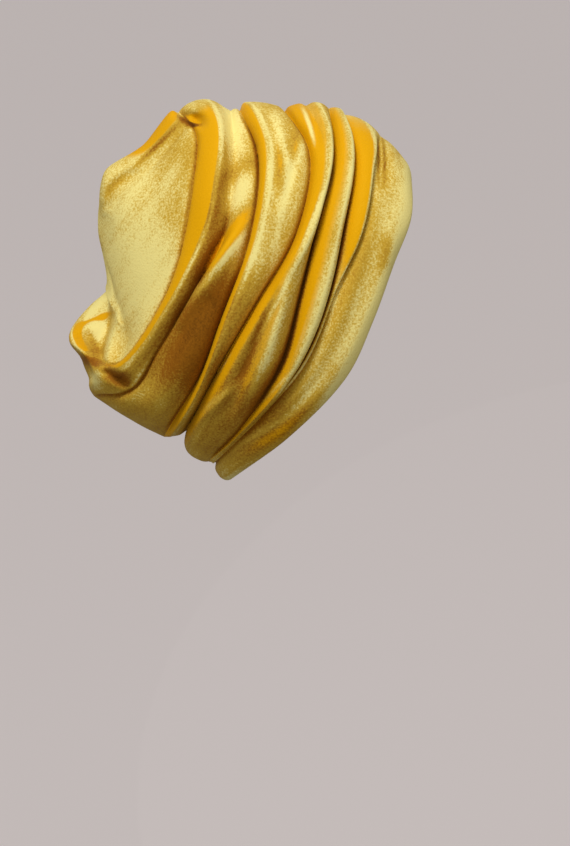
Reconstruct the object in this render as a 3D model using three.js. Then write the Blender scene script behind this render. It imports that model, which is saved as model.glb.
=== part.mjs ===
// Slouchy beanie: one pouch of doubled stretch velvet, kept in the folded form that it has when worn.
// Millimetres. +X is the hat's front, +Y its left, +Z up. The origin is the middle of the opening.
import * as THREE from "three";

// Driving dimensions
const WALL = 2.4;
const LOOP_COLUMNS = 44;
const COLOUR = 0xdda31f;
const ROUGHNESS = 0.85;

// Valley rings, from the rim to the gathered end. Each ring is a loop round the hat, the same on both
// sides. Columns: the side view's [x, z] at seven stations from the top of the hat down to the nape,
// the loop's half width, lean, which is above 1 where the loop is widest towards the nape, and twist,
// the slope at which the loop's lower end climbs from the right side to the left.
const STATIONS = ["top", "brow", "temple", "side", "ear", "low", "nape"];
const RINGS = [
  { name: "rim", top: [62, 95], brow: [60, 72], temple: [48, 40], side: [34, 2], ear: [17, -34],
    low: [-20, -73], nape: [-66, -101], halfWidth: 67, lean: 0.88 },
  { name: "front_crease", top: [42, 129], brow: [38, 106], temple: [30, 68], side: [11, 20], ear: [-9, -25],
    low: [-40, -61], nape: [-72, -93], halfWidth: 74, lean: 0.98 },
  { name: "second_crease", top: [19, 144], brow: [25, 112], temple: [19, 68], side: [4, 14], ear: [-14, -28],
    low: [-46, -65], nape: [-78, -91], halfWidth: 77, lean: 1.05 },
  { name: "third_crease", top: [6, 149], brow: [9, 112], temple: [0, 69], side: [-14, 18], ear: [-27, -29],
    low: [-54, -68], nape: [-84, -88], halfWidth: 79, lean: 1 },
  { name: "middle_edge", top: [-26, 149], brow: [-8, 106], temple: [-16, 60], side: [-44, 10],
    ear: [-66, -27], low: [-81, -54], nape: [-92, -72], halfWidth: 80, lean: 1 },
  { name: "rear_edge", top: [-56, 147], brow: [-43, 106], temple: [-46, 60], side: [-65, 5], ear: [-80, -35],
    low: [-93, -56], nape: [-106, -74], halfWidth: 78, lean: 1 },
  { name: "pouch_valley", top: [-64, 148], brow: [-63, 106], temple: [-66, 55], side: [-85, 20],
    ear: [-108, -17], low: [-124, -42], nape: [-154, -51], halfWidth: 70, lean: 1, twist: 0.1 },
  { name: "pouch_edge", top: [-96, 144], brow: [-84, 130], temple: [-83, 88], side: [-97, 31],
    ear: [-120, -10], low: [-138, -27], nape: [-160, -35], halfWidth: 64, lean: 1, twist: 0.75 },
  { name: "panel_middle", top: [-116, 119], brow: [-111, 100], temple: [-113, 66], side: [-120, 32],
    ear: [-128, 8], low: [-133, -4], nape: [-146, -4], halfWidth: 48, lean: 1, twist: 0.65 },
  { name: "panel_end", top: [-147, 102], brow: [-144, 90], temple: [-139, 70], side: [-139, 52],
    ear: [-141, 37], low: [-143, 26], nape: [-147, 27], halfWidth: 28, lean: 1, twist: 0.3 },
];
const POUCH_END = [-150, 0, 72];

// Folds between one ring and the next. Columns: mesh rows, how full the front and rear flanks are (1 round,
// below 1 fuller), where the crest lies at the seven stations between the front ring (0) and the rear one
// (1), and the fold's rise at the seven stations.
const FOLDS = [
  { name: "band", rows: 6, front: 0.7, rear: 0.7,
    crest: [0.4, 0.4, 0.4, 0.4, 0.4, 0.4, 0.4], rise: [2, 5, 7, 7, 6, 5, 4] },
  { name: "front_fold", rows: 5, front: 0.8, rear: 0.8,
    crest: [0.2, 0.2, 0.2, 0.25, 0.3, 0.4, 0.5], rise: [3, 7, 8, 5, 1, 0, 0] },
  { name: "second_fold", rows: 6, front: 0.8, rear: 0.8,
    crest: [0.35, 0.35, 0.4, 0.5, 0.6, 0.6, 0.5], rise: [3, 6, 7, 8, 7, 2, 0] },
  { name: "middle_fold", rows: 8, front: 0.7, rear: 0.7,
    crest: [0.35, 0.35, 0.4, 0.6, 0.7, 0.7, 0.6], rise: [4, 8, 10, 11, 11, 10, 7] },
  { name: "rear_fold", rows: 7, front: 0.7, rear: 0.7,
    crest: [0.7, 0.7, 0.7, 0.7, 0.7, 0.6, 0.5], rise: [4, 8, 10, 9, 9, 8, 3] },
  { name: "belly", rows: 9, front: 0.8, rear: 0.8,
    crest: [0.55, 0.55, 0.55, 0.55, 0.55, 0.55, 0.55], rise: [3, 2, 2, 6, 10, 8, 3] },
  { name: "pouch_roll", rows: 8, front: 1.6, rear: 0.7,
    crest: [0.45, 0.45, 0.45, 0.5, 0.55, 0.75, 0.85], rise: [9, 11, 11, 9, 8, 7, 12] },
  { name: "panel_front", rows: 5, front: 1, rear: 1,
    crest: [0.5, 0.5, 0.5, 0.5, 0.5, 0.4, 0.3], rise: [0, 0, 0, 0, 0, -4, -12] },
  { name: "panel_back", rows: 4, front: 1, rear: 1,
    crest: [0.5, 0.5, 0.5, 0.5, 0.5, 0.5, 0.5], rise: [0, 0, 0, 0, 0, 0, 0] },
];

// Ridges that run slantwise over one fold, and a groove, whose rise is below 0. Columns: the fold, the
// line's [x, z] in the side view, its rise, and how far it fades out on its upper and on its lower side.
const RIDGES = [
  { name: "belly_edge", fold: "belly", start: [-46, 66], middle: [-68, 35], end: [-92, 1],
    rise: 8, upper: 7, lower: 9 },
  { name: "belly_shade", fold: "belly", start: [-72, 20], middle: [-105, -25], end: [-130, -52],
    rise: -5, upper: 5, lower: 9 },
  { name: "inner_fold", fold: "middle_fold", start: [-24, 24], middle: [-38, -28], end: [-58, -74],
    rise: 4, upper: 7, lower: 7 },
  { name: "band_ridge", fold: "band", start: [42, 110], middle: [14, -8], end: [-60, -84],
    rise: 2, upper: 7, lower: 6 },
];

// The raised spine along the top of the end panel: its rise, its half width, and how far it narrows.
const SPINE = { folds: ["panel_front", "panel_back"], rise: 5, halfWidth: 11, taper: 0.6 };

const HALF = LOOP_COLUMNS / 2;
const FINE_STEPS = 160;
const RIDGE_STEPS = 40;
const SMOOTH = 0.4;
const TWIST_PIVOT = 48;
const TWIST_START_RIGHT = 0.72;
const TWIST_START_LEFT = 0.55;
const TWIST_FULL = 0.92;
const STEEPEST = 0.6;
const FIRST_SMOOTH = FOLDS.findIndex((fold) => fold.name === "panel_front");

// How far down a loop a column lies: 0 at the top of the hat, 1 at the nape.
function downShare(j) {
  return Math.min(j, LOOP_COLUMNS - j) / HALF;
}

// The half loop of a ring at `steps` even steps of its length, on the hat's right side.
function halfLoop(ring, steps) {
  const sideView = new THREE.CatmullRomCurve3(
    STATIONS.map((station) => new THREE.Vector3(ring[station][0], 0, ring[station][1])));
  const fine = [];
  for (let i = 0; i <= FINE_STEPS; i += 1) {
    const share = (1 - Math.cos((Math.PI * i) / FINE_STEPS)) / 2;
    const point = sideView.getPointAt(share);
    const leant = Math.pow(share, ring.lean);
    point.y = -ring.halfWidth * 2 * Math.sqrt(leant * (1 - leant));
    fine.push(point);
  }
  const lengths = [0];
  for (let i = 1; i < fine.length; i += 1) {
    lengths.push(lengths[i - 1] + fine[i].distanceTo(fine[i - 1]));
  }
  const points = [];
  let at = 0;
  for (let step = 0; step <= steps; step += 1) {
    const target = (lengths[FINE_STEPS] * step) / steps;
    while (at < FINE_STEPS - 1 && lengths[at + 1] < target) {
      at += 1;
    }
    const share = (target - lengths[at]) / (lengths[at + 1] - lengths[at]);
    points.push(fine[at].clone().lerp(fine[at + 1], share));
  }
  points[0].y = 0;
  points[steps].y = 0;
  return points;
}

// The whole loop: down the right side to the nape, then back up the left side.
function wholeLoop(ring) {
  const right = halfLoop(ring, HALF);
  const left = right.slice(1, HALF).reverse().map((point) => new THREE.Vector3(point.x, -point.y, point.z));
  const loop = [...right, ...left];
  loop.forEach((point, j) => {
    const start = point.y > 0 ? TWIST_START_LEFT : TWIST_START_RIGHT;
    const lowness = THREE.MathUtils.smoothstep(downShare(j), start, TWIST_FULL);
    point.z += (ring.twist ?? 0) * lowness * (point.y + TWIST_PIVOT);
  });
  return loop;
}

// The outward direction at each point of some loops, from its neighbours along and across them.
function loopNormals(loops, end) {
  return loops.map((loop, i) => loop.map((point, j) => {
    const along = loop[(j + 1) % LOOP_COLUMNS].clone().sub(loop[(j + LOOP_COLUMNS - 1) % LOOP_COLUMNS]);
    const ahead = i > 0 ? loops[i - 1][j] : point;
    const behind = i < loops.length - 1 ? loops[i + 1][j] : end;
    return behind.clone().sub(ahead).cross(along).normalize();
  }));
}

// A value given at the seven stations, smoothly in between; share runs from 0 at the top to 1 at the nape.
function atStation(values, share) {
  const place = share * (values.length - 1);
  const i = Math.min(Math.floor(place), values.length - 2);
  return THREE.MathUtils.lerp(values[i], values[i + 1], THREE.MathUtils.smoothstep(place - i, 0, 1));
}

// A fold's section from 0 at one ring to 1 at its crest and 0 at the next ring.
function foldSection(fold, share, down) {
  const crest = atStation(fold.crest, down);
  const before = share < crest;
  const towardCrest = before ? share / crest : (1 - share) / (1 - crest);
  return Math.sin((Math.PI / 2) * towardCrest) ** (before ? fold.front : fold.rear);
}

// How far a ridge lifts a point of its fold, from the point's place in the side view.
function ridgeRise(ridge, point) {
  const flat = ([x, z]) => new THREE.Vector2(x, z);
  const line = new THREE.SplineCurve([flat(ridge.start), flat(ridge.middle), flat(ridge.end)]);
  const here = new THREE.Vector2(point.x, point.z);
  let nearest = Infinity;
  let rise = 0;
  for (let step = 0; step <= RIDGE_STEPS; step += 1) {
    const share = step / RIDGE_STEPS;
    const away = here.clone().sub(line.getPoint(share));
    if (away.length() < nearest) {
      nearest = away.length();
      const fade = line.getTangent(share).cross(away) < 0 ? ridge.upper : ridge.lower;
      rise = ridge.rise * Math.sin(Math.PI * share) ** 0.5 * Math.exp(-((nearest / fade) ** 2));
    }
  }
  return rise;
}

// How far the spine lifts a point of the end panel.
function spineRise(fold, share, point) {
  const place = SPINE.folds.indexOf(fold.name);
  if (place < 0 || point.z < POUCH_END[2]) {
    return 0;
  }
  const along = (place + share) / SPINE.folds.length;
  const halfWidth = SPINE.halfWidth * (1 - SPINE.taper * along);
  return SPINE.rise * (1 - along ** 2) * Math.exp(-((point.y / halfWidth) ** 2));
}

// A point of the cloth between the rings before the folds lift it: a smooth curve across the loops.
function betweenRings(loops, end, i, j, share) {
  const before = loops[Math.max(i - 1, 0)][j];
  const after = i + 2 < loops.length ? loops[i + 2][j] : end;
  const slopeIn = loops[i + 1][j].clone().sub(before).multiplyScalar(SMOOTH);
  const slopeOut = after.clone().sub(loops[i][j]).multiplyScalar(SMOOTH);
  const s = share;
  return loops[i][j].clone().multiplyScalar(2 * s ** 3 - 3 * s ** 2 + 1)
    .addScaledVector(slopeIn, s ** 3 - 2 * s ** 2 + s)
    .addScaledVector(loops[i + 1][j], 3 * s ** 2 - 2 * s ** 3)
    .addScaledVector(slopeOut, s ** 3 - s ** 2);
}

// Rows of outer and inner points from the rim to the gathered end. The inner points lie straight below
// the outer ones, deeper on a fold's flanks, so that the wall is about as thick there.
function clothRows() {
  const loops = RINGS.map(wholeLoop);
  const end = new THREE.Vector3(...POUCH_END);
  const normals = loopNormals(loops, end);
  const outer = [];
  const upward = [];
  FOLDS.forEach((fold, i) => {
    const ridges = RIDGES.filter((ridge) => ridge.fold === fold.name);
    const rowCount = i === FOLDS.length - 1 ? fold.rows + 1 : fold.rows;
    for (let row = 0; row < rowCount; row += 1) {
      const share = row / fold.rows;
      const outerRow = [];
      const upwardRow = [];
      for (let j = 0; j < LOOP_COLUMNS; j += 1) {
        const base = i < FIRST_SMOOTH
          ? loops[i][j].clone().lerp(loops[i + 1][j], share)
          : betweenRings(loops, end, i, j, share);
        const normal = normals[i][j].clone().lerp(normals[i + 1][j], share).normalize();
        const section = foldSection(fold, share, downShare(j));
        const lift = ridges.reduce((sum, ridge) => sum + ridgeRise(ridge, base), 0);
        const rise = section * atStation(fold.rise, downShare(j)) + Math.sqrt(section) * lift
          + spineRise(fold, share, base);
        outerRow.push(base.addScaledVector(normal, rise));
        upwardRow.push(normal);
      }
      outer.push(outerRow);
      upward.push(upwardRow);
    }
  });
  const facing = loopNormals(outer, end);
  const inner = outer.map((outerRow, row) => outerRow.map((point, j) => {
    const slope = Math.max(facing[row][j].dot(upward[row][j]), STEEPEST);
    return point.clone().addScaledVector(upward[row][j], -WALL / slope);
  }));
  return { outer, inner, end };
}

// One closed surface: the outer rows, the rim edge, the inner rows, and a fan over the gathered end.
function clothGeometry() {
  const { outer, inner, end } = clothRows();
  const points = [];
  const triangles = [];
  const firstOf = (rows) => rows.map((row) => {
    const first = points.length;
    points.push(...row);
    return first;
  });
  const quadStrip = (a, b) => {
    for (let j = 0; j < LOOP_COLUMNS; j += 1) {
      const next = (j + 1) % LOOP_COLUMNS;
      triangles.push(a + j, b + next, a + next, a + j, b + j, b + next);
    }
  };
  const outerRows = firstOf(outer);
  const innerRows = firstOf(inner);
  for (let row = 1; row < outerRows.length; row += 1) {
    quadStrip(outerRows[row - 1], outerRows[row]);
    quadStrip(innerRows[row], innerRows[row - 1]);
  }
  quadStrip(innerRows[0], outerRows[0]);
  const outerEnd = points.push(end) - 1;
  const innerEnd = points.push(end.clone().add(new THREE.Vector3(WALL, 0, 0))) - 1;
  for (let j = 0; j < LOOP_COLUMNS; j += 1) {
    const next = (j + 1) % LOOP_COLUMNS;
    triangles.push(outerRows.at(-1) + next, outerRows.at(-1) + j, outerEnd);
    triangles.push(innerRows.at(-1) + j, innerRows.at(-1) + next, innerEnd);
  }
  const geometry = new THREE.BufferGeometry();
  const coordinates = points.flatMap((point) => [point.x, point.y, point.z]);
  geometry.setAttribute("position", new THREE.Float32BufferAttribute(coordinates, 3));
  geometry.setIndex(triangles);
  geometry.computeVertexNormals();
  return geometry;
}

const crown = new THREE.Mesh(
  clothGeometry(),
  new THREE.MeshStandardMaterial({ color: COLOUR, roughness: ROUGHNESS, metalness: 0 }));
crown.name = "crown";

const beanie = new THREE.Group();
beanie.name = "slouchy_beanie";
beanie.add(crown);

export default beanie;
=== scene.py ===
"""Slouchy beanie of stretch velvet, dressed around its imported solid.

The tables are in millimetres, and what goes to Blender is in metres.
"""
import math
from typing import NamedTuple

import bpy
import numpy as np
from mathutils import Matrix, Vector, noise


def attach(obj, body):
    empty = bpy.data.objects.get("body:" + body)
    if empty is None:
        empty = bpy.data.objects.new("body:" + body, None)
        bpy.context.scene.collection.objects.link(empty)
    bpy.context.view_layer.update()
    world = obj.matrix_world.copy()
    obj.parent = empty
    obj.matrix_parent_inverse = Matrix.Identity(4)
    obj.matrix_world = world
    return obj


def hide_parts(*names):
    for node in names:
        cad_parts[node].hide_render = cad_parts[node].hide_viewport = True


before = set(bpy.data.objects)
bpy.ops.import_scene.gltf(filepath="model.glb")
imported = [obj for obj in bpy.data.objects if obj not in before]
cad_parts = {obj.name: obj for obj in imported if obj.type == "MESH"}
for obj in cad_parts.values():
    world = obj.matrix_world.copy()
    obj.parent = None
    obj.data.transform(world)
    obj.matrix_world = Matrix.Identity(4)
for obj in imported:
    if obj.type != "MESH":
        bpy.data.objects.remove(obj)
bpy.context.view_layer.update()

MM = 0.001

# The camera is level and looks along +Y at the hat's right side.
CAMERA_PLACE = (-0.0238, -1.8, -0.0646)
CAMERA_LENS_MM = 112.6
SENSOR_MM = 36.0

# The wall stands for two layers of velvet. It is laid straight in from the outer face and is deeper on
# a fold's flanks, so that it stays as thick there, for slopes down to this cosine.
WALL_MM = 2.2
STEEPEST = 0.6

# The mesh: columns round each loop, how much its rows crowd towards the rings, and the step between the
# rows that the inner face repeats.
LOOP_COLUMNS = 320
ROW_CROWDING = 0.5
INNER_ROW_STEP = 4

# Points on a curve between two of its given places, on a ring's half, on a ridge's line, and on a
# painted patch's or a dent's line.
CURVE_STEPS = 40
HALF_LOOP_SAMPLES = 400
RIDGE_SAMPLES = 60
LINE_SAMPLES = 31

# Each column's number, the next one's, and how far down its loop it lies, from 0 to 1.
HALF = LOOP_COLUMNS // 2
COLUMN = np.arange(LOOP_COLUMNS)
NEXT_COLUMN = (COLUMN + 1) % LOOP_COLUMNS
DOWN = np.minimum(COLUMN, LOOP_COLUMNS - COLUMN) / HALF

# Passes that ease the sharpest kinks of the whole cloth.
SMOOTH_PASSES = 3

# The valley in front of the pouch's roll is eased where it runs over the top: the passes, the rows on
# each side of it, and how far down the easing starts to fade and is gone.
VALLEY_EASE_PASSES = 100
VALLEY_EASE_ROWS = 9
VALLEY_EASE_ENDS = (0.24, 0.40)

# The pouch's lower end is twisted about a line this far to the right. On each side the twist starts so
# far down the loop, and below the last place it is whole.
TWIST_PIVOT_MM = 48.0
TWIST_START_RIGHT = 0.78
TWIST_START_LEFT = 0.55
TWIST_FULL = 0.92


class Ring(NamedTuple):
    """A valley ring round the hat: its place (x, z) in the side view at seven stations from the top
    down to the bottom, its half width, its lean, which is below 1 where it is widest towards the top,
    and its twist, the slope at which its lower end climbs from the right side to the left."""

    name: str
    top: tuple
    brow: tuple
    temple: tuple
    side: tuple
    ear: tuple
    low: tuple
    nape: tuple
    half_width: float
    lean: float = 1
    twist: float = 0


RINGS = (
    Ring("rim", (61, 102), (60, 72), (48, 40), (34, 2), (17, -34), (-20, -73),
         (-60, -102.5), half_width=67, lean=0.88),
    Ring("front_crease", (41, 130), (33.5, 106), (25.5, 68), (8.5, 20), (-10, -25), (-40, -61),
         (-72.5, -92.5), half_width=74, lean=0.98),
    Ring("second_crease", (15.5, 145), (22.5, 112), (16, 68), (4, 14), (-14, -28), (-46, -65),
         (-74, -91.5), half_width=77, lean=1.05),
    Ring("third_crease", (6, 149), (8, 112), (-2.5, 69), (-14, 18), (-27, -29), (-53, -69),
         (-75.5, -90.5), half_width=79),
    Ring("middle_edge", (-25, 149), (-7.5, 114), (-16, 60), (-44, 10), (-66, -27), (-81, -54),
         (-92, -72), half_width=80),
    Ring("rear_edge", (-55, 148), (-42, 114), (-46, 60), (-65, 5), (-80, -35), (-93, -56),
         (-106, -74), half_width=78),
    Ring("pouch_valley", (-61, 148), (-58, 108), (-65, 57), (-85, 20), (-108, -17), (-124, -42),
         (-154, -51), half_width=70, twist=0.1),
    Ring("pouch_edge", (-96, 146), (-84, 130), (-86, 88), (-98, 31), (-120, -10), (-138, -27),
         (-160, -35), half_width=64, twist=0.75),
    Ring("panel_middle", (-117, 122), (-111, 100), (-113, 66), (-120, 32), (-128, 8), (-133, -4),
         (-146, -4), half_width=48, twist=0.65),
    Ring("panel_end", (-143, 105), (-142, 92), (-138, 71), (-138, 52), (-140, 37), (-142, 26),
         (-146, 27), half_width=28, twist=0.3),
    Ring("pouch_tip", (-151, 78), (-151, 77), (-151, 75), (-151, 72), (-151, 69), (-151, 67),
         (-151, 66), half_width=3),
)

# The place inside the pouch's end that its last rows turn in to.
POUCH_END = (-144, 0, 72)

# The same value at all seven stations.
LEVEL = (0, 0, 0, 0, 0, 0, 0)
MIDDLE = (0.5, 0.5, 0.5, 0.5, 0.5, 0.5, 0.5)


class Fold(NamedTuple):
    """A fold between one ring and the next. At the seven stations: its crest from the front ring (0) to
    the rear one (1), its rise, its lean to the front and how orange its rear flank is. Then how full
    its front and rear flanks are (1 round, below 1 fuller), how far behind the crest the orange is
    whole (0 where it follows the slope alone), and how much painted sheen its crest and its front
    flank get, where low levels give painted shade."""

    name: str
    rows: int
    crest: tuple = MIDDLE
    rise: tuple = LEVEL
    lean: tuple = LEVEL
    orange: tuple = LEVEL
    fullness: tuple = (1, 1)
    strip: float = 0
    crest_sheen: float = 0.75
    front_sheen: float = 0.75


FOLDS = (
    Fold("band", 26, crest=(0.3, 0.4, 0.4, 0.4, 0.4, 0.4, 0.4), rise=(4, 5, 7, 7, 6, 5, 4),
         fullness=(0.7, 0.7), crest_sheen=0.62, front_sheen=0.9),
    Fold("front_fold", 18, crest=(0.6, 0.25, 0.2, 0.4, 0.6, 0.6, 0.5), rise=(3.5, 7, 8, 3, 0, 0, 0),
         lean=(1, 3, 4, 0, 0, 0, 0), orange=(0.5, 1, 1, 0.4, 0, 0, 0),
         fullness=(0.8, 0.8), strip=0.2, crest_sheen=0.65, front_sheen=0.75),
    Fold("second_fold", 20, crest=(0.45, 0.5, 0.5, 0.5, 0.6, 0.6, 0.5), rise=(3, 6, 7, 8, 7, 2, 0),
         lean=(1, 3, 4, 3, 2, 0, 0), orange=(0.6, 1, 1, 1, 1, 0.8, 0.4),
         fullness=(0.8, 0.8), strip=0.65, crest_sheen=0.6, front_sheen=0.75),
    Fold("middle_fold", 30, crest=(0.35, 0.35, 0.4, 0.6, 0.7, 0.7, 0.6), rise=(4, 8, 10, 11, 11, 10, 7),
         lean=(1, 3, 4, 0, -1, -1, 0), orange=(0.8, 1.1, 1.1, 1.1, 1, 0.8, 0.5),
         fullness=(0.7, 0.7), strip=0.55, crest_sheen=0.55, front_sheen=0.5),
    Fold("rear_fold", 28, crest=(0.82, 0.7, 0.7, 0.7, 0.7, 0.6, 0.5), rise=(5, 8, 10, 9, 9, 8, 1),
         lean=(-1, -2, -2, -1, 0, 0, 0), orange=(0.8, 1.1, 1.1, 1.1, 1.1, 1, 0.8),
         fullness=(0.7, 0.7), strip=0.4, crest_sheen=0.6, front_sheen=0.5),
    Fold("belly", 34, crest=(0.55, 0.55, 0.55, 0.55, 0.55, 0.55, 0.55), rise=(1, 1, 2, 6, 10, 8, 1),
         fullness=(0.8, 1.2), crest_sheen=0.3, front_sheen=0.3),
    Fold("pouch_roll", 28, crest=(0.45, 0.36, 0.42, 0.5, 0.55, 0.75, 0.85), rise=(9, 11, 11, 9, 8, 7, 12),
         lean=(1, 4, 4, 3, 2, 1, 0), orange=(0.3, 1.1, 1.1, 1.1, 1.1, 1, 0.6),
         fullness=(1.2, 0.7), strip=0.15, crest_sheen=0.5, front_sheen=0.3),
    Fold("panel_front", 24, crest=(0.5, 0.5, 0.5, 0.5, 0.5, 0.4, 0.3), rise=(0, 0, 0, 0, 0, -4, -12)),
    Fold("panel_back", 18),
    Fold("pouch_end", 14),
)

# The end panel's folds, which the spine runs over, and how steeply their cloth leaves a ring, as a share
# of the way between that ring's neighbours.
PANEL_FOLDS = ("panel_front", "panel_back", "pouch_end")
PANEL_TENSION = 0.4

# The powers of a fold's section with which its lean and the ridges on it die away towards its rings.
LEAN_POWER = 1.5
RIDGE_POWER = 0.75

# Places beyond both ends of a loop, for what neither fades in nor fades out on it.
NO_START = (-2.0, -1.0)
NO_END = (2.0, 3.0)

# How much deeper than its ring each crease is cut, how wide it is, how much painted shade darkens it, and
# how wide a fold is where its creases start and where they are whole. The plain rings have none.
CREASE_DEPTH_MM = 3.0
CREASE_WIDTH_MM = 1.6
CREASE_SHADE = 0.7
CREASE_ROOM_MM = (4.0, 14.0)
PLAIN_RINGS = ("rim", "panel_middle", "panel_end", "pouch_tip")

# How far down their loops these rings' creases start and are whole, then start to fade and are gone.
CREASE_ENDS = {
    "front_crease": (0.3, 0.5, *NO_END),
    "second_crease": (0.0, 0.12, 0.86, 0.96),
    "third_crease": (0.0, 0.12, 0.88, 0.98),
    "rear_edge": (*NO_START, 0.85, 0.97),
    "pouch_valley": (0.3, 0.42, 0.9, 1.0),
    "pouch_edge": (0.05, 0.15, 0.78, 0.9),
}

# The creases with a painted shadow line in them, how wide and how dark it is, and where it starts and fades.
DARK_CREASES = ("second_crease", "third_crease")
DARK_LINE_MM = 1.6
DARK_LINE_SHADE = 1.0
DARK_LINE_ENDS = (0.15, 0.4, 0.6, 0.8)

# The painted highlight, a thin light line just ahead of a fold's crest: its width, how much lighter and
# less orange it is, how much of it is lost down the loop, and how far down that starts and ends.
CREST_LINE_MM = 1.3
CREST_HIGHLIGHT = 0.4
CREST_LINE_LOSS = 0.6
CREST_LINE_FADE = (0.5, 0.9)

# How far a point tilts to the rear to be orange, tilts to the front to be a front flank, or lies ahead
# of the crest to be one, and how much of the tilt's orange a fold with a strip keeps. A front flank
# gets its fold's front level of painted sheen, the rest the crest's level.
REAR_TILT = (0.0, 0.35)
FRONT_TILT = (0.05, 0.60)
FRONT_FLANK = (0.4, 0.9)
STRIP_TILT = 0.6


class PaintedPatch(NamedTuple):
    """A place, or a line, in the side view, where light and shade are painted onto the pile: how wide it
    is, how much painted sheen it adds there, or painted shade where that is below 0, and how much more
    orange it is there."""

    name: str
    line: tuple
    radius: float
    sheen_and_shade: float
    orange: float


# Most of these paint light and shade: sheen and highlights, as on the light crest, edge and rim lines, the
# lit recess and the panel, and shade and shadows, as under the flanks, in the pockets and low on the hat. A
# few change only the orange.
PAINTED_PATCHES = (
    PaintedPatch("panel_corner", ((-92, 116),), 18, -0.3, 0.15),
    PaintedPatch("panel_edge", ((-96, 70),), 12, -0.2, 0),
    PaintedPatch("panel_light", ((-121, 36),), 26, 0.3, 0),
    PaintedPatch("roll_cap", ((-98, 144), (-86, 150), (-74, 152)), 7, 0.2, -1.0),
    PaintedPatch("recess_top", ((-68, 178), (-60, 140), (-56, 122), (-53, 98)), 9, 0.7, -0.4),
    PaintedPatch("recess_base", ((-62, 170), (-59, 128), (-58, 104), (-64, 70)), 11, 0.1, 0),
    PaintedPatch("recess_band", ((-38, 108), (-55, 102), (-72, 88)), 5, -0.25, 0),
    PaintedPatch("recess_low", ((-47, 106), (-52, 88), (-62, 70)), 7, 0.8, -0.4),
    PaintedPatch("flank_gold", ((-64, 104), (-70, 78), (-82, 46)), 6, -0.55, 0),
    PaintedPatch("wedge", ((-42, 84), (-55, 63), (-67, 46), (-82, 22)), 5.5, 0, 1.4),
    PaintedPatch("wedge_line", ((-42, 68), (-59, 47), (-71, 32), (-92, 8)), 3, 0.8, -0.3),
    PaintedPatch("wedge_shadow", ((-63, 63), (-73, 44), (-83, 25)), 4, -0.9, -0.3),
    PaintedPatch("belly_gold", ((-46, 58), (-52, 44), (-61, 28)), 6, 0.2, 0),
    PaintedPatch("belly_shadow", ((-52, 48), (-72, 10), (-90, -22), (-108, -52)), 20, -0.95, 0),
    PaintedPatch("belly_light", ((-84, -60), (-104, -48), (-132, -50)), 10, 0.15, 0),
    PaintedPatch("flank_edge", ((-92, 6), (-108, -15), (-119, -32), (-129, -43), (-148, -46)), 1.5, 0.6, 0),
    PaintedPatch("rear_light", ((-33, 124), (-33, 102), (-35, 78)), 3, 0.3, 0),
    PaintedPatch("rear_strip", ((-50, 158), (-44, 128), (-41, 108), (-41, 84)), 2.5, -0.6, 0.5),
    PaintedPatch("rear_first", ((-34, 148), (-26, 122), (-22, 106), (-22, 92), (-26, 74), (-34, 30)), 3, 0.5, 0),
    PaintedPatch("rear_second", ((-9, 124), (-17, 105), (-22, 88)), 3, 0.5, 0),
    PaintedPatch("rear_gold", ((-29, 124), (-27, 103), (-28, 82)), 3.5, -0.35, 0.3),
    PaintedPatch("rear_gold_front", ((-14, 138), (-18, 118), (-16, 92)), 4, -0.35, 0.3),
    PaintedPatch("top_wedge", ((-14, 152), (-7, 131), (-3, 112)), 2, 0.5, -0.9),
    PaintedPatch("rear_low", ((-52, 40),), 16, 0.2, 0),
    PaintedPatch("middle_low", ((-60, -36),), 20, -0.4, 0),
    PaintedPatch("slant_light", ((-86, -61), (-70, -50), (-58, -42), (-48, -34)), 2.5, 0.4, -0.3),
    PaintedPatch("band_ridge", ((-62, -84), (-40, -71), (-25, -62), (2, -34)), 2.5, 0.6, -0.2),
    PaintedPatch("band_groove", ((-64, -94), (-44, -81), (-24, -68), (4, -42)), 4, -0.3, 0.3),
    PaintedPatch("band_front", ((62, 130), (58, 75), (46, 40), (33, 5), (5, -50)), 8, 0.3, 0),
    PaintedPatch("pleat_first", ((38.5, 132), (38.5, 112), (37.5, 90)), 1.0, -1.0, -0.3),
    PaintedPatch("pleat_second", ((42, 130), (42.5, 111), (41, 88)), 1.0, -0.9, -0.3),
    PaintedPatch("band_top", ((58, 116), (61, 98), (60, 78)), 6, 0.5, 0),
    PaintedPatch("band_gold", ((42, 64), (42, 47), (40, 30)), 5, -0.4, 0.2),
    PaintedPatch("band_shade", ((36, 92), (22, 40), (2, -14)), 6, -0.3, 0),
    PaintedPatch("inner_shade", ((-30, 26), (-39, 0), (-47, -22), (-56, -48)), 3.5, -0.8, -0.4),
    PaintedPatch("inner_light", ((-20, 24), (-28, 0), (-37, -26), (-52, -58)), 2.5, 0.5, -0.3),
    PaintedPatch("inner_shade_front", ((-16, 6), (-24, -16), (-34, -38), (-50, -64)), 3, -0.7, -0.2),
    PaintedPatch("pleat_line", ((18, 40), (11, 23), (5, 5), (-2, -14)), 1.6, 0.6, -0.2),
    PaintedPatch("middle_crest", ((6, 124), (5.5, 97), (-0.5, 79), (-8.5, 60), (-16, 40)), 2, 0.5, -1.2),
    PaintedPatch("rear_sparkle", ((-76, -47), (-66, -30), (-53, -10)), 1.3, 0.9, -0.4),
    PaintedPatch("second_sparkle", ((-48, -60), (-34, -46), (-20, -31)), 1.3, 0.9, -0.4),
    PaintedPatch("band_low", ((-34, -66),), 30, -0.7, 0.4),
    PaintedPatch("nape", ((-80, -70),), 22, -0.3, 0),
    PaintedPatch("lip_inside", ((-150, -4),), 9, 0.5, -1.5),
    PaintedPatch("lip_back", ((-142, 28), (-157, 13), (-166, 2)), 4, 0.3, -1.2),
    PaintedPatch("lip_low", ((-150, -22),), 6, 0, -1.5),
    PaintedPatch("lip_rim", ((-168, 12), (-168, -6), (-161, -16), (-143, -22)), 1.3, 0.6, -0.8),
    PaintedPatch("lip_facet", ((-150, -37),), 6, 0.5, -0.5),
)
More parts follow.
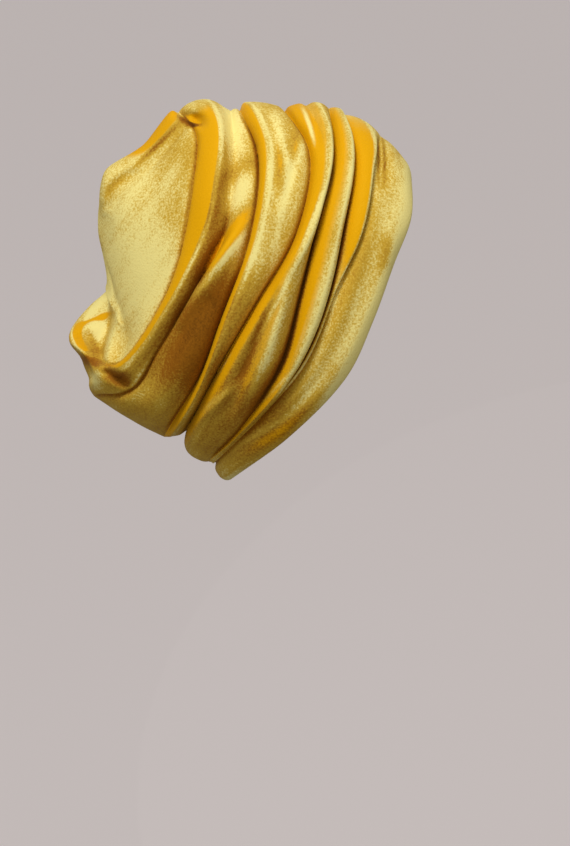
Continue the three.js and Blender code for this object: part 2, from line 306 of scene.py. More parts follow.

# Those that go with the dents, on the near side alone: mostly painted shadows in the tucks, pockets
# and hollows, and orange bands.
NEAR_PAINTED_PATCHES = (
    PaintedPatch("tuck_dark", ((-98, 144), (-91, 138), (-86, 135), (-75, 134)), 2, -1.4, -1.2),
    PaintedPatch("tuck_gold", ((-93, 143), (-84, 139), (-76, 138)), 2.2, -0.2, 0.9),
    PaintedPatch("corner_line", ((-144, 82), (-140, 94), (-126, 104)), 3, -0.5, 0.1),
    PaintedPatch("spine_line", ((-87, 145), (-102, 129), (-118, 114), (-129, 103)), 2.2, -0.9, -1.2),
    PaintedPatch("lip_under", ((-164, -18), (-154, -23), (-144, -28)), 4, -1.0, -0.2),
    PaintedPatch("lip_band",
          ((-134, 11), (-142, 9.5), (-150.5, 7.5), (-160, 4.5), (-165, -2), (-163, -10), (-156, -18)),
          2.4, -0.1, 2.2),
    PaintedPatch("lip_band_end", ((-148, 7.5),), 3.5, -0.1, 1.2),
    PaintedPatch("flap_shade", ((-140, 18), (-144, -2), (-147, -14), (-147, -28)), 2.5, -0.5, -0.5),
    PaintedPatch("lip_shade", ((-160, 0), (-154, -10), (-148, -22)), 3.5, -0.9, -0.3),
    PaintedPatch("pinch_pocket", ((-147, -28), (-135, -35), (-123, -41)), 5, -1.2, -1.8),
)


class Ridge(NamedTuple):
    """A small ridge, or a groove where its rise is below 0, along a line over one fold in the side
    view, and how far it reaches on its upper or rear side and on its lower or front side."""

    name: str
    fold: str
    line: tuple
    rise: float
    upper: float
    lower: float


RIDGES = (
    Ridge("pleat_first", "band", ((38.5, 130), (38.5, 112), (37.5, 92)), -3.0, 1.3, 1.3),
    Ridge("pleat_second", "band", ((42, 128), (42.5, 111), (41, 90)), -2.5, 1.3, 1.3),
    Ridge("band_ridge", "band", ((36, 90), (22, 40), (7, 0), (-20, -46), (-60, -84)), 2.5, 5, 4),
    Ridge("band_valley", "band", ((46, 84), (32, 36), (16, -4), (-10, -44), (-50, -80)), -1.5, 5, 5),
    Ridge("inner_fold", "middle_fold", ((-22, 26), (-27, 0), (-38, -30), (-58, -74)), 4.0, 5, 6),
    Ridge("inner_groove", "middle_fold", ((-27, 24), (-36, 0), (-46, -22), (-60, -56)), -5.0, 4, 4),
    Ridge("lower_slant", "middle_fold", ((-48, -32), (-60, -44), (-70, -51), (-84, -60)), 3.0, 3, 5),
    Ridge("top_wedge", "middle_fold", ((-14, 160), (-9, 142), (-6, 128), (-4, 114)), -4.0, 2, 2),
    Ridge("rear_streak", "rear_fold", ((-34, 140), (-29, 118), (-27, 100), (-29, 70)), -3.0, 2.4, 2.4),
    Ridge("rear_streak_front", "rear_fold", ((-20, 138), (-18, 118), (-17, 104), (-23, 74)), -3.0, 2.4, 2.4),
    Ridge("rear_slant", "rear_fold", ((-11, 128), (-14, 113), (-20, 99)), 2.0, 2, 2),
    Ridge("belly_edge", "belly", ((-46, 66), (-58, 50), (-70, 34), (-83, 18), (-96, 0)), 8.0, 7, 9),
    Ridge("edge_shade", "belly", ((-72, 20), (-86, 0), (-100, -18), (-110, -32), (-117, -45), (-130, -52)),
          -5.0, 5, 9),
    Ridge("belly_pocket", "belly", ((-62, 60), (-72, 42), (-84, 25)), -3.0, 4, 4),
    Ridge("recess_shade", "belly", ((-44, 108), (-54, 103), (-63, 97)), -1.5, 5, 5),
    Ridge("belly_streak", "belly", ((-90, -42), (-95, -54), (-99, -66)), -2.5, 4, 4),
)


class Dent(NamedTuple):
    """A hollow along a side view line, pressed in from the right or from behind, or a swelling where
    its depth is below 0."""

    name: str
    line: tuple
    depth: float
    radius: float
    from_behind: bool = False


DENTS = (
    Dent("roll_tuck", ((-97, 143), (-88, 142), (-80, 139)), 5.0, 2.5),
    Dent("roll_pocket", ((-84, 138), (-80, 135)), 8.0, 3.0),
    Dent("corner_tuck", ((-144, 82), (-140, 94), (-128, 103)), 3.0, 3.0),
    Dent("pinch_pocket", ((-142, -31), (-135, -35), (-129, -38)), 7.0, 3.0),
    Dent("lip_hollow", ((-160, -2), (-156, -8), (-153, -15)), 9.0, 6.0),
    Dent("lip_pocket", ((-160, -22), (-152, -24)), 6.0, 4.0),
    Dent("flap_step", ((-141, 8), (-144, -3), (-147, -14), (-147, -22)), 7.0, 3.0),
    Dent("flap_edge", ((-136, 10), (-139, -3), (-142, -15), (-142, -22)), -4.0, 3.5),
    Dent("lip_notch", ((-168, -20), (-163, -27), (-160, -32)), 6.0, 6.0, from_behind=True),
)

# Over this width at the hat's middle the near side's dents and painted patches fade out, and from
# this share of a dent's depth on, its wall follows its own slope.
NEAR_SIDE_MM = 12.0
DENT_WALL = 0.3

# The rolled spine along the top of the end panel: the place of its middle, which is on the right where it
# is below 0, its rise, its half width, how much narrower it gets, where along it starts, is whole, starts
# to fade and is gone, and the height over the pouch's end in which it fades.
SPINE_MIDDLE_MM = -12.0
SPINE_RISE_MM = 5.0
SPINE_HALF_WIDTH_MM = 14.0
SPINE_TAPER = 0.4
SPINE_ENDS = (0.0, 0.05, 0.6, 0.95)
SPINE_FADE_MM = 14.0

# The groove on each side of the spine: how many half widths off it lies, how wide and how deep it is.
SPINE_GROOVE_PLACE = 1.3
SPINE_GROOVE_WIDTH_MM = 3.0
SPINE_GROOVE_DEPTH_MM = 3.0

# Where along the spine its orange fades, and how much of the spine a point needs to be orange.
SPINE_ORANGE_FADE = (0.15, 0.75)
SPINE_ORANGE = (0.2, 0.7)

# The heading (x, z) in the side view that the end panel's wrinkles and streaks take.
PANEL_HEADING = (0.6, 0.8)

# Soft wrinkles along the folds, largest first: how far they lift the cloth, and how far apart they lie.
WRINKLES = ((0.55, 16.0), (0.25, 7.0))
WRINKLE_STRETCH = 3.5

# The shortest length that a direction is divided by.
TINY = 1e-9


def smooth_step(low, high, value):
    share = np.clip((value - low) / (high - low), 0.0, 1.0)
    return share * share * (3.0 - 2.0 * share)


def within(ends, value):
    """1 between four ends, where it starts, is whole, starts to fade and is gone, and 0 beyond them."""
    start, whole, fade, gone = ends
    return smooth_step(start, whole, value) * (1 - smooth_step(fade, gone, value))


def bell(away, radius):
    """1 where `away` is 0, and close to 0 from two radii on."""
    return np.exp(-((away / radius) ** 2))


def unit(vectors):
    return vectors / np.maximum(np.linalg.norm(vectors, axis=-1, keepdims=True), TINY)


def lengths_along(points):
    steps = np.linalg.norm(np.diff(points, axis=0), axis=1)
    return np.concatenate([[0.0], np.cumsum(steps)])


def smooth_curve(points):
    """A smooth curve through some points, with its knots spaced by the root of their distance."""
    points = np.array(points, float)
    first, last = 2 * points[0] - points[1], 2 * points[-1] - points[-2]
    held = np.vstack([first, points, last])
    gaps = np.sqrt(np.linalg.norm(np.diff(held, axis=0), axis=1))
    knots = np.concatenate([[0.0], np.cumsum(gaps)])
    pieces = []
    for i in range(1, len(held) - 2):
        t0, t1, t2, t3 = knots[i - 1:i + 3]
        p0, p1, p2, p3 = held[i - 1:i + 3]
        t = np.linspace(t1, t2, CURVE_STEPS, endpoint=False)[:, None]
        a1 = (t1 - t) / (t1 - t0) * p0 + (t - t0) / (t1 - t0) * p1
        a2 = (t2 - t) / (t2 - t1) * p1 + (t - t1) / (t2 - t1) * p2
        a3 = (t3 - t) / (t3 - t2) * p2 + (t - t2) / (t3 - t2) * p3
        b1 = (t2 - t) / (t2 - t0) * a1 + (t - t0) / (t2 - t0) * a2
        b2 = (t3 - t) / (t3 - t1) * a2 + (t - t1) / (t3 - t1) * a3
        pieces.append((t2 - t) / (t2 - t1) * b1 + (t - t1) / (t2 - t1) * b2)
    return np.vstack(pieces + [points[-1:]])


def spaced(points, count):
    """The same line at `count` even steps of its length."""
    along = lengths_along(points)
    targets = np.linspace(0.0, along[-1], count)
    return np.column_stack([np.interp(targets, along, points[:, k]) for k in range(points.shape[1])])


def whole_loop(ring):
    """A ring's points: down the right side to the bottom, then back up the left side."""
    side_view = smooth_curve((ring.top, ring.brow, ring.temple, ring.side, ring.ear, ring.low, ring.nape))
    share = (1.0 - np.cos(np.linspace(0.0, np.pi, HALF_LOOP_SAMPLES))) / 2.0
    along = lengths_along(side_view)
    x = np.interp(share, along / along[-1], side_view[:, 0])
    z = np.interp(share, along / along[-1], side_view[:, 1])
    leant = share ** ring.lean
    y = -2.0 * ring.half_width * np.sqrt(leant * (1.0 - leant))
    right = spaced(np.column_stack([x, y, z]), HALF + 1)
    right[0, 1] = right[-1, 1] = 0.0
    left = right[1:HALF][::-1] * (1, -1, 1)
    loop = np.vstack([right, left])
    twist_start = np.where(loop[:, 1] > 0, TWIST_START_LEFT, TWIST_START_RIGHT)
    loop[:, 2] += ring.twist * smooth_step(twist_start, TWIST_FULL, DOWN) * (loop[:, 1] + TWIST_PIVOT_MM)
    return loop


def loop_normals(loops, end):
    """The outward direction at each point of some loops, from its neighbours along and across them."""
    along = np.roll(loops, -1, axis=1) - np.roll(loops, 1, axis=1)
    closing = np.broadcast_to(np.array(end, float), loops[:1].shape)
    ahead = np.concatenate([loops[:1], loops[:-1]])
    behind = np.concatenate([loops[1:], closing])
    return unit(np.cross(behind - ahead, along))


def at_stations(values):
    """Values given at the seven stations, at every column of a loop."""
    place = DOWN * (len(values) - 1)
    low = np.minimum(place.astype(int), len(values) - 2)
    values = np.array(values, float)
    share = smooth_step(0.0, 1.0, place - low)
    return values[low] * (1 - share) + values[low + 1] * share


def section_of(fold, share):
    """A fold's section at every column: 0 at its two rings, 1 at its crest."""
    crest = at_stations(fold.crest)
    before = share < crest
    toward_crest = np.where(before, share / crest, (1 - share) / (1 - crest))
    return np.sin(np.pi / 2 * np.clip(toward_crest, 0.0, 1.0)) ** np.where(before, *fold.fullness)


def ridge_rise(ridge, points):
    """How far a ridge lifts the points of its fold, from their places in the side view."""
    line = spaced(smooth_curve(ridge.line), RIDGE_SAMPLES)
    heading = unit(np.gradient(line, axis=0))
    flat = points[..., (0, 2)].reshape(-1, 2)
    away = flat[:, None, :] - line[None, :, :]
    distance = np.linalg.norm(away, axis=2)
    nearest = distance.argmin(axis=1)
    rows = np.arange(len(flat))
    off = away[rows, nearest]
    side = heading[nearest, 0] * off[:, 1] - heading[nearest, 1] * off[:, 0]
    reach = np.where(side < 0, ridge.upper, ridge.lower)
    taper = np.sqrt(np.sin(np.pi * nearest / (len(line) - 1)))
    rise = ridge.rise * taper * bell(distance[rows, nearest], reach)
    return rise.reshape(points.shape[:-1])


def near_line(line, radius, points, tapered=False):
    """How near points lie to a line, or to a single place, in the side view: 1 on it, 0 well away."""
    places = spaced(smooth_curve(line), LINE_SAMPLES) if len(line) > 1 else np.array(line, float)
    distance = np.linalg.norm(points[..., None, (0, 2)] - places, axis=-1)
    near = bell(distance.min(axis=-1), radius)
    if tapered and len(line) > 1:
        near *= np.sin(np.pi * distance.argmin(axis=-1) / (len(places) - 1))
    return near


def spine_share(fold, share, points):
    """How much of the spine along the top of the end panel, of the groove beside it and of the spine's
    orange is at each point."""
    if fold.name not in PANEL_FOLDS:
        return np.zeros((3, LOOP_COLUMNS))
    along = (PANEL_FOLDS.index(fold.name) + share) / len(PANEL_FOLDS)
    kept = within(SPINE_ENDS, along) * smooth_step(0.0, SPINE_FADE_MM, points[:, 2] - POUCH_END[2])
    half_width = SPINE_HALF_WIDTH_MM * (1 - SPINE_TAPER * along)
    off = np.abs(points[:, 1] - SPINE_MIDDLE_MM)
    spine = kept * bell(off, half_width)
    groove = kept * bell(off - SPINE_GROOVE_PLACE * half_width, SPINE_GROOVE_WIDTH_MM)
    return spine, groove, spine * (1 - smooth_step(*SPINE_ORANGE_FADE, along))


def crease_share(i, share, width):
    """How much of the creases on both sides of a fold, and of the painted shadow line in them, is at
    each point.
    """
    depth = np.zeros(LOOP_COLUMNS)
    dark = np.zeros(LOOP_COLUMNS)
    for ring, away in ((RINGS[i], share * width), (RINGS[i + 1], (1 - share) * width)):
        if ring.name not in PLAIN_RINGS:
            ends = CREASE_ENDS.get(ring.name, NO_START + NO_END)
            depth += bell(away, CREASE_WIDTH_MM) * within(ends, DOWN)
        if ring.name in DARK_CREASES:
            dark += bell(away, DARK_LINE_MM) * within(DARK_LINE_ENDS, DOWN)
    return depth * smooth_step(*CREASE_ROOM_MM, width), dark


def between_rings(loops, i, share):
    """The cloth before the folds lift it: straight between two rings, but curved on the end panel."""
    if FOLDS[i].name not in PANEL_FOLDS:
        return loops[i] * (1 - share) + loops[i + 1] * share
    before = loops[i - 1]
    after = loops[i + 2] if i + 2 < len(loops) else np.array(POUCH_END, float)
    slope_in = PANEL_TENSION * (loops[i + 1] - before)
    slope_out = PANEL_TENSION * (after - loops[i])
    s = share
    return (loops[i] * (2 * s ** 3 - 3 * s ** 2 + 1) + slope_in * (s ** 3 - 2 * s ** 2 + s)
            + loops[i + 1] * (3 * s ** 2 - 2 * s ** 3) + slope_out * (s ** 3 - s ** 2))


class Rows(NamedTuple):
    """The cloth's outer points, in one row or in all of them stacked. For each point: the directions
    out of the hat and to the front, how far behind its fold's crest it is, from -1 to 1, and how much
    it is on the crest's painted highlight, on the orange spine, in a crease, which also gets painted
    shade, and on a painted shadow line."""

    points: np.ndarray
    outward: np.ndarray
    forward: np.ndarray
    behind: np.ndarray
    crest_highlight: np.ndarray
    spine: np.ndarray
    crease: np.ndarray
    crease_shadow_line: np.ndarray


def cloth_row(i, share, loops, normals):
    """The row of points at some share of the way from one ring to the next."""
    fold = FOLDS[i]
    base = between_rings(loops, i, share)
    outward = unit(normals[i] * (1 - share) + normals[i + 1] * share)
    forward = unit(loops[i] - loops[i + 1])
    width = np.linalg.norm(loops[i + 1] - loops[i], axis=1)
    section = section_of(fold, share)
    ridges = sum(ridge_rise(ridge, base) for ridge in RIDGES if ridge.fold == fold.name)
    spine, groove, spine_orange = spine_share(fold, share, base)
    crease, crease_shadow_line = crease_share(i, share, width)
    rise = section * at_stations(fold.rise) + section ** RIDGE_POWER * ridges
    rise += SPINE_RISE_MM * spine - SPINE_GROOVE_DEPTH_MM * groove - CREASE_DEPTH_MM * crease
    shift = section ** LEAN_POWER * at_stations(fold.lean)
    points = base + outward * rise[:, None] + forward * shift[:, None]
    crest = at_stations(fold.crest)
    behind = (share - crest) / np.where(share < crest, crest, 1 - crest)
    # The crest's painted highlight, on the folds with a strip.
    crest_highlight = np.zeros(LOOP_COLUMNS)
    if fold.strip:
        lost = CREST_LINE_LOSS * smooth_step(*CREST_LINE_FADE, DOWN)
        crest_highlight = bell((share - crest) * width + CREST_LINE_MM, CREST_LINE_MM) * (1 - lost)
    return Rows(points, outward, forward, behind, crest_highlight, spine_orange, crease, crease_shadow_line)


def cloth_rows():
    """All the rows from the rim to the pouch's end, and the fold that each row is in."""
    loops = np.array([whole_loop(ring) for ring in RINGS])
    normals = loop_normals(loops, POUCH_END)
    rows, folds = [], []
    for i, fold in enumerate(FOLDS):
        steps = np.linspace(0.0, 1.0, fold.rows + 1)
        shares = steps - ROW_CROWDING * np.sin(2 * np.pi * steps) / (2 * np.pi)
        for share in shares if fold is FOLDS[-1] else shares[:-1]:
            rows.append(cloth_row(i, share, loops, normals))
            folds.append(fold)
    return Rows(*(np.array(values) for values in zip(*rows))), folds


def pressed(points):
    """The cloth with its dents pressed in, and how much of a dent each point is in."""
    dented = np.zeros(points.shape[:-1])
    for dent in DENTS:
        near = near_line(dent.line, dent.radius, points)
        if dent.from_behind:
            points[..., 0] += dent.depth * near
        else:
            near *= smooth_step(0.0, NEAR_SIDE_MM, -points[..., 1])
            points[..., 1] += dent.depth * near
        dented = np.maximum(dented, smooth_step(0.0, DENT_WALL, near))
    return points, dented


def smoothed(points, passes, share=1.0):
    """The cloth drawn half way to the mean of each point's four neighbours, some times over, or less
    far where `share` is below 1. The rim and the last row stay."""
    share = np.broadcast_to(share, points.shape)[1:-1]
    for _ in range(passes):
        across = points[:-2] + points[2:]
        along = np.roll(points, 1, axis=1)[1:-1] + np.roll(points, -1, axis=1)[1:-1]
        points[1:-1] += ((across + along) / 4 - points[1:-1]) * share / 2
    return points


def valley_share(folds):
    """How much each point is in the valley in front of the roll, where that runs over the top."""
    ring = [fold.name for fold in folds].index("pouch_roll")
    near = bell(np.arange(len(folds)) - ring, VALLEY_EASE_ROWS)
    return (near[:, None] * (1 - smooth_step(*VALLEY_EASE_ENDS, DOWN)))[..., None]


def cloth_places(points, folds):
    """Each point's place on the cloth: millimetres down the loop, across the rows, and to the side. On
    the end panel it is a slanting place in the side view, because the loops close there."""
    down = np.broadcast_to(DOWN * lengths_along(points[len(points) // 2])[-1] / 2, points.shape[:-1]).copy()
    steps = np.linalg.norm(np.diff(points, axis=0), axis=-1).mean(axis=1)
    across = np.broadcast_to(np.concatenate([[0.0], np.cumsum(steps)])[:, None], points.shape[:-1]).copy()
    panel = np.array([fold.name in PANEL_FOLDS for fold in folds])
    x, z = points[panel][..., 0], points[panel][..., 2]
    heading_x, heading_z = PANEL_HEADING
    down[panel] = heading_x * x + heading_z * z
    across[panel] = heading_z * x - heading_x * z
    return np.stack([down, across, points[..., 1]], axis=-1)


def wrinkle_rise(places):
    """Small soft wrinkles, from a point's place on the cloth."""
    total = np.zeros(places.shape[:-1])
    flat = places.reshape(-1, 3)
    for rise, spacing in WRINKLES:
        scaled = flat / (spacing * WRINKLE_STRETCH, spacing, spacing * WRINKLE_STRETCH)
        values = [noise.noise(Vector(place)) for place in scaled.tolist()]
        total += rise * np.array(values).reshape(total.shape)
    return total


def tones(points, facing, rows, folds):
    """How orange the pile is at each point, and the painted sheen and shade on it, from its place on
    the fold, its facing and the painted patches.
    """
    tilt = (facing * rows.forward).sum(axis=-1)
    rear = smooth_step(*REAR_TILT, -tilt)
    front = np.maximum(smooth_step(*FRONT_TILT, tilt), smooth_step(*FRONT_FLANK, -rows.behind))
    for row, fold in enumerate(folds):
        if fold.strip:
            rear[row] = np.maximum(STRIP_TILT * rear[row], smooth_step(0.0, fold.strip, rows.behind[row]))
    orange = rear * np.array([at_stations(fold.orange) for fold in folds])
    orange = np.maximum(orange, smooth_step(*SPINE_ORANGE, rows.spine))
    # Painted light: the crest's highlight and the shadow line in some creases take away orange.
    orange -= CREST_HIGHLIGHT * rows.crest_highlight + DARK_LINE_SHADE * rows.crease_shadow_line
    crest_sheen = np.array([[fold.crest_sheen] for fold in folds])
    front_sheen = np.array([[fold.front_sheen] for fold in folds])
    # The painted sheen of the fold's crest and front flank, less the painted shade in its creases, then the
    # crest's painted highlight and the painted shadow lines.
    sheen_and_shade = front * front_sheen + (1 - front) * crest_sheen - CREASE_SHADE * rows.crease
    sheen_and_shade += CREST_HIGHLIGHT * rows.crest_highlight - DARK_LINE_SHADE * rows.crease_shadow_line
    near_side = smooth_step(-NEAR_SIDE_MM, 0.0, -points[..., 1])
    # The painted patches add their painted sheen, shade and orange, the near side's ones on that side alone.
    for patches, side in ((PAINTED_PATCHES, 1.0), (NEAR_PAINTED_PATCHES, near_side)):
        for patch in patches:
            near = side * near_line(patch.line, patch.radius, points, tapered=True)
            sheen_and_shade += patch.sheen_and_shade * near
            orange += patch.orange * near
    return {"orange": orange, "sheen_and_shade": sheen_and_shade}


def strip_faces(first, second):
    """Quads between two rows, from the numbers of the rows' first points."""
    corners = (first + COLUMN, second + COLUMN, second + NEXT_COLUMN, first + NEXT_COLUMN)
    return np.column_stack(corners).tolist()


def fan_faces(first, second, end):
    """Triangles from a row's points, in two orders of its columns, to the point that closes the row."""
    return np.column_stack([first, second, np.full(LOOP_COLUMNS, end)]).tolist()


def wall_faces(outer_rows, inner_rows):
    """The outer rows, the inner rows, the rim's edge between them, and a fan over the end of each."""
    outer = [row * LOOP_COLUMNS for row in range(outer_rows)]
    inner = [(outer_rows + row) * LOOP_COLUMNS for row in range(inner_rows)]
    outer_end = (outer_rows + inner_rows) * LOOP_COLUMNS
    faces = strip_faces(inner[0], outer[0])
    for first, second in zip(outer, outer[1:]):
        faces += strip_faces(first, second)
    for first, second in zip(inner, inner[1:]):
        faces += strip_faces(second, first)
    faces += fan_faces(outer[-1] + NEXT_COLUMN, outer[-1] + COLUMN, outer_end)
    faces += fan_faces(inner[-1] + COLUMN, inner[-1] + NEXT_COLUMN, outer_end + 1)
    return faces


def build_cloth():
    """The whole hat as one closed wall of cloth, with its tones and cloth places as attributes."""
    rows, folds = cloth_rows()
    points, dented = pressed(rows.points)
    points = smoothed(points, SMOOTH_PASSES)
    points = smoothed(points, VALLEY_EASE_PASSES, valley_share(folds))
    places = cloth_places(points, folds)
    facing = loop_normals(points, points[-1].mean(axis=0))
    points[1:] += (facing * wrinkle_rise(places)[..., None])[1:]
    end = points[-1].mean(axis=0)
    facing = loop_normals(points, end)
    slope = np.maximum((facing * rows.outward).sum(axis=-1), STEEPEST)
    wall = rows.outward * (WALL_MM / slope)[..., None]
    wall += (facing * WALL_MM - wall) * dented[..., None]
    inner = (points - wall)[::INNER_ROW_STEP]
    inner_places = places[::INNER_ROW_STEP]
    ends = (end, end + (WALL_MM, 0, 0))
    all_points = np.vstack([points.reshape(-1, 3), inner.reshape(-1, 3), *ends]) * MM
    all_places = np.vstack([places.reshape(-1, 3), inner_places.reshape(-1, 3), places[-1, :len(ends)]]) * MM
    outer_end = len(all_points) - len(ends)

    mesh = bpy.data.meshes.new("crown_velvet")
    mesh.from_pydata(all_points.tolist(), [], wall_faces(len(points), len(inner)))
    mesh.attributes.new("cloth", "FLOAT_VECTOR", "POINT").data.foreach_set("vector", all_places.ravel())
    # The orange, and the painted sheen and shade, go to the shader as point attributes.
    for name, tone in tones(points, facing, rows, folds).items():
        values = np.zeros(len(all_points))
        values[:tone.size] = tone.reshape(-1)
        values[outer_end] = tone[-1].mean()
        mesh.attributes.new(name, "FLOAT", "POINT").data.foreach_set("value", values)
    mesh.shade_smooth()
    piece = bpy.data.objects.new("crown_velvet", mesh)
    bpy.context.scene.collection.objects.link(piece)
    return piece


# The pile's tones for the painted light, from its deepest painted shade through shade and gold to
# the painted sheen where it catches the light, and its orange.
UMBER = (0.105, 0.031, 0.003)
BROWN = (0.26, 0.090, 0.006)
GOLD = (0.55, 0.34, 0.035)
PALE = (0.80, 0.68, 0.24)
ORANGE = (0.68, 0.33, 0.002)

# Over which value of the painted sheen and shade one tone turns into the next, and over which
# orange the pile turns orange.
UMBER_TO_BROWN = (-1.2, -0.3)
BROWN_TO_GOLD = (-0.4, 0.6)
GOLD_TO_PALE = (0.4, 1.0)
TO_ORANGE = (0.3, 0.9)


class Pattern(NamedTuple):
    """A noise in the pile: how fine it is, how much paler or darker it makes the pile, how far it is
    stretched along each axis, and how much finer noise is in it."""

    scale: float
    sheen_and_shade: float
    stretch: tuple = (1, 1, 1)
    detail: float = 2.0


# Streaks down the cloth, crushed places, and the grain of the pile.
STREAK = Pattern(150, 0.6, stretch=(0.12, 1, 0.3))
CRUSH = Pattern(40, 0.3)
GRAIN = Pattern(750, 1.0, detail=1.0)
NOISE_ROUGHNESS = 0.6
NOISE_MIDDLE = 0.5

# The grain in the orange, the roughness and the grain in it, and the bump of the pile.
GRAIN_IN_ORANGE = 0.5
ROUGHNESS = 0.6
GRAIN_IN_ROUGHNESS = 0.4
CRUSH_IN_BUMP = 0.5
BUMP_STRENGTH = 0.4
BUMP_DISTANCE = 0.0006

# What is the same all over the velvet: its shine is as yellow as its pile.
SHINE_TINT = (1.0, 0.75, 0.08, 1.0)
VELVET_VALUES = {
    "Specular IOR Level": 0.2,
    "Specular Tint": SHINE_TINT,
    "Sheen Weight": 0.08,
    "Sheen Roughness": 0.4,
    "Sheen Tint": SHINE_TINT,
}


class Tree:
    """A material's nodes, made and linked by short calls."""

    def __init__(self, name, values):
        self.material = bpy.data.materials.new(name)
        self.material.use_nodes = True
        self.nodes = self.material.node_tree.nodes
        self.links = self.material.node_tree.links
        self.shader = self.nodes["Principled BSDF"]
        self.fill(self.shader, values)

    def fill(self, node, values):
        """Sets a node's inputs, by name or number, to plain values, or links them to other outputs."""
        for name, value in values.items():
            if isinstance(value, bpy.types.NodeSocket):
                self.links.new(value, node.inputs[name])
            else:
                node.inputs[name].default_value = value

    def add(self, kind, values, **settings):
        node = self.nodes.new("ShaderNode" + kind)
        for name, value in settings.items():
            setattr(node, name, value)
        self.fill(node, values)
        return node

    def attribute(self, name, output="Fac"):
        return self.add("Attribute", {}, attribute_name=name).outputs[output]

    def maths(self, operation, first, second):
        return self.add("Math", {0: first, 1: second}, operation=operation).outputs[0]

    def weighted(self, value, part, weight):
        """A value with some of a part added to it."""
        return self.maths("ADD", value, self.maths("MULTIPLY", part, weight))

    def noise(self, place, pattern):
        """A pattern's noise around 0, from about -0.5 to 0.5, on a place in metres."""
        mapped = self.add("Mapping", {"Vector": place, "Scale": pattern.stretch}).outputs[0]
        node = self.add("TexNoise", {"Vector": mapped, "Scale": pattern.scale, "Detail": pattern.detail,
                                     "Roughness": NOISE_ROUGHNESS})
        return self.maths("SUBTRACT", node.outputs["Fac"], NOISE_MIDDLE)

    def blended(self, value, limits, first, second):
        """The first colour where a value is below its limits, the second one where it is above them."""
        low, high = limits
        share = self.add("MapRange", {"Value": value, "From Min": low, "From Max": high},
                         interpolation_type="SMOOTHSTEP").outputs["Result"]
        node = self.add("Mix", {"Factor": share}, data_type="RGBA")
        for name, colour in (("A", first), ("B", second)):
            self.fill(node, {name: (*colour, 1.0) if isinstance(colour, tuple) else colour})
        return node.outputs["Result"]


def velvet():
    """Crushed velvet, painted from umber shade to light sheen, with orange strips, streaks and grain."""
    tree = Tree("velvet", VELVET_VALUES)
    place = tree.add("TexCoord", {}).outputs["Object"]
    streak = tree.noise(tree.attribute("cloth", "Vector"), STREAK)
    crush = tree.noise(place, CRUSH)
    grain = tree.noise(place, GRAIN)
    # The painted sheen and shade, moved by the streaks, the crushed places and the grain.
    sheen_and_shade = tree.attribute("sheen_and_shade")
    for part, pattern in ((streak, STREAK), (crush, CRUSH), (grain, GRAIN)):
        sheen_and_shade = tree.weighted(sheen_and_shade, part, pattern.sheen_and_shade)
    orange = tree.weighted(tree.attribute("orange"), grain, GRAIN_IN_ORANGE)
    # Painted light: deepest shade to shade, shade to gold, gold to sheen.
    deep = tree.blended(sheen_and_shade, UMBER_TO_BROWN, UMBER, BROWN)
    shade = tree.blended(sheen_and_shade, BROWN_TO_GOLD, deep, GOLD)
    body = tree.blended(sheen_and_shade, GOLD_TO_PALE, shade, PALE)
    pile = tree.weighted(grain, crush, CRUSH_IN_BUMP)
    bump = tree.add("Bump", {"Height": pile, "Strength": BUMP_STRENGTH, "Distance": BUMP_DISTANCE})
    tree.fill(tree.shader, {
        "Base Color": tree.blended(orange, TO_ORANGE, body, ORANGE),
        "Roughness": tree.weighted(ROUGHNESS, grain, GRAIN_IN_ROUGHNESS),
        "Normal": bump.outputs[0],
    })
    return tree.material


# The backdrop: a floor, in rings of these shares of its radius, that sweeps up into a wall all round.
FLOOR_HEIGHT = -1.2
FLOOR_RADIUS = 3.0
FLOOR_SHARES = (0.05, 0.2, 0.4, 0.6, 0.8)
SWEEP_RADIUS = 2.0
SWEEP_STEPS = 12
BACKDROP_TOP = 5.0
BACKDROP_SIDES = 96
PAPER_VALUES = {
    "Base Color": (0.62, 0.57, 0.56, 1.0),
    "Roughness": 0.95,
    "Emission Color": (0.52, 0.47, 0.46, 1.0),
    "Emission Strength": 0.55,
}


def backdrop():
    """A light-coloured floor and wall that stand behind the hat from every side, and shed no light on it."""
    profile = [(FLOOR_RADIUS * share, FLOOR_HEIGHT) for share in FLOOR_SHARES]
    for turn in np.linspace(0.0, math.pi / 2, SWEEP_STEPS + 1):
        profile.append((FLOOR_RADIUS + SWEEP_RADIUS * math.sin(turn),
                        FLOOR_HEIGHT + SWEEP_RADIUS * (1 - math.cos(turn))))
    profile.append((FLOOR_RADIUS + SWEEP_RADIUS, BACKDROP_TOP))
    turns = [2 * math.pi * side / BACKDROP_SIDES for side in range(BACKDROP_SIDES)]
    points = [(r * math.cos(turn), r * math.sin(turn), z) for r, z in profile for turn in turns]
    faces = [tuple(range(BACKDROP_SIDES))]
    for ring in range(len(profile) - 1):
        for side in range(BACKDROP_SIDES):
            a = ring * BACKDROP_SIDES + side
            b = ring * BACKDROP_SIDES + (side + 1) % BACKDROP_SIDES
            faces.append((a, a + BACKDROP_SIDES, b + BACKDROP_SIDES, b))
    mesh = bpy.data.meshes.new("backdrop")
    mesh.from_pydata(points, [], faces)
    mesh.shade_smooth()
    mesh.materials.append(Tree("paper", PAPER_VALUES).material)
    sweep = bpy.data.objects.new("backdrop", mesh)
    sweep.visible_diffuse = False
    sweep.visible_glossy = False
    bpy.context.scene.collection.objects.link(sweep)


class Lamp(NamedTuple):
    """A round area light that shines at the origin."""

    name: str
    place: tuple
    size: float
    watts: float


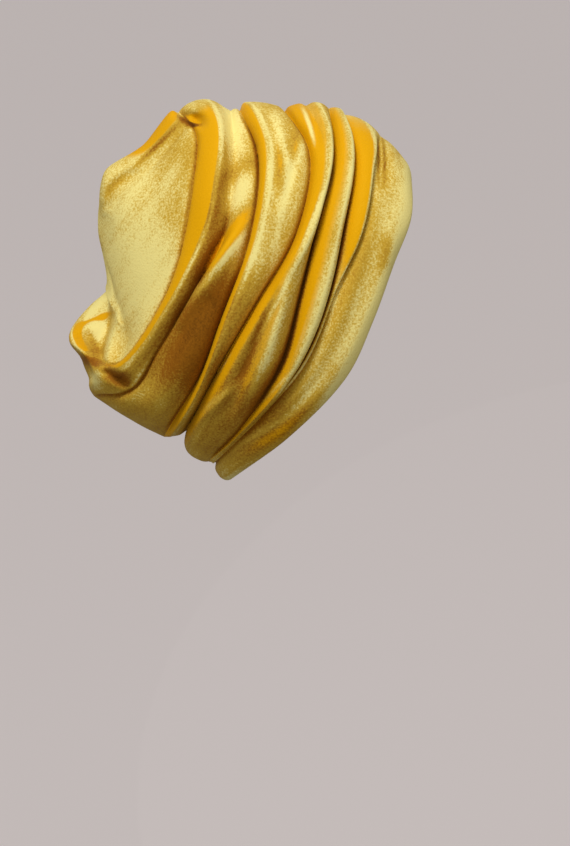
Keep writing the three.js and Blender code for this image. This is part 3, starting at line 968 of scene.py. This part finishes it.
LAMPS = (
    Lamp("key", (-0.4, -1.2, 1.6), 0.7, 31),
    Lamp("fill", (1.4, -1.2, 1.0), 1.0, 7),
    Lamp("low", (-0.6, -1.6, -0.7), 1.0, 7),
)

# The room's light, and how strong it is from straight below and from straight above.
ROOM_COLOUR = (1.0, 0.97, 0.95, 1.0)
ROOM_STRENGTHS = (0.14, 0.4)


def area_light(lamp):
    data = bpy.data.lights.new(lamp.name, "AREA")
    data.shape = "DISK"
    data.size = lamp.size
    data.energy = lamp.watts
    light = bpy.data.objects.new(lamp.name, data)
    light.location = lamp.place
    light.rotation_euler = (-Vector(lamp.place)).to_track_quat("-Z", "Y").to_euler()
    light.visible_camera = False
    bpy.context.scene.collection.objects.link(light)


def room_light():
    world = bpy.data.worlds.new("studio")
    bpy.context.scene.world = world
    world.use_nodes = True
    nodes, links = world.node_tree.nodes, world.node_tree.links
    direction = nodes.new("ShaderNodeSeparateXYZ")
    links.new(nodes.new("ShaderNodeTexCoord").outputs["Generated"], direction.inputs[0])
    height = nodes.new("ShaderNodeMapRange")
    links.new(direction.outputs["Z"], height.inputs["Value"])
    height.inputs["From Min"].default_value = -1.0
    height.inputs["From Max"].default_value = 1.0
    height.inputs["To Min"].default_value, height.inputs["To Max"].default_value = ROOM_STRENGTHS
    nodes["Background"].inputs["Color"].default_value = ROOM_COLOUR
    links.new(height.outputs["Result"], nodes["Background"].inputs["Strength"])


def studio():
    room_light()
    for lamp in LAMPS:
        area_light(lamp)
    backdrop()
    bpy.context.scene.view_settings.view_transform = "Standard"


def camera():
    data = bpy.data.cameras.new("camera")
    data.lens = CAMERA_LENS_MM
    data.sensor_width = SENSOR_MM
    viewer = bpy.data.objects.new("camera", data)
    viewer.location = CAMERA_PLACE
    viewer.rotation_euler = (math.pi / 2, 0, 0)
    bpy.context.scene.collection.objects.link(viewer)
    bpy.context.scene.camera = viewer


camera()
studio()
crown = build_cloth()
crown.data.materials.append(velvet())
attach(crown, "root")
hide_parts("crown")
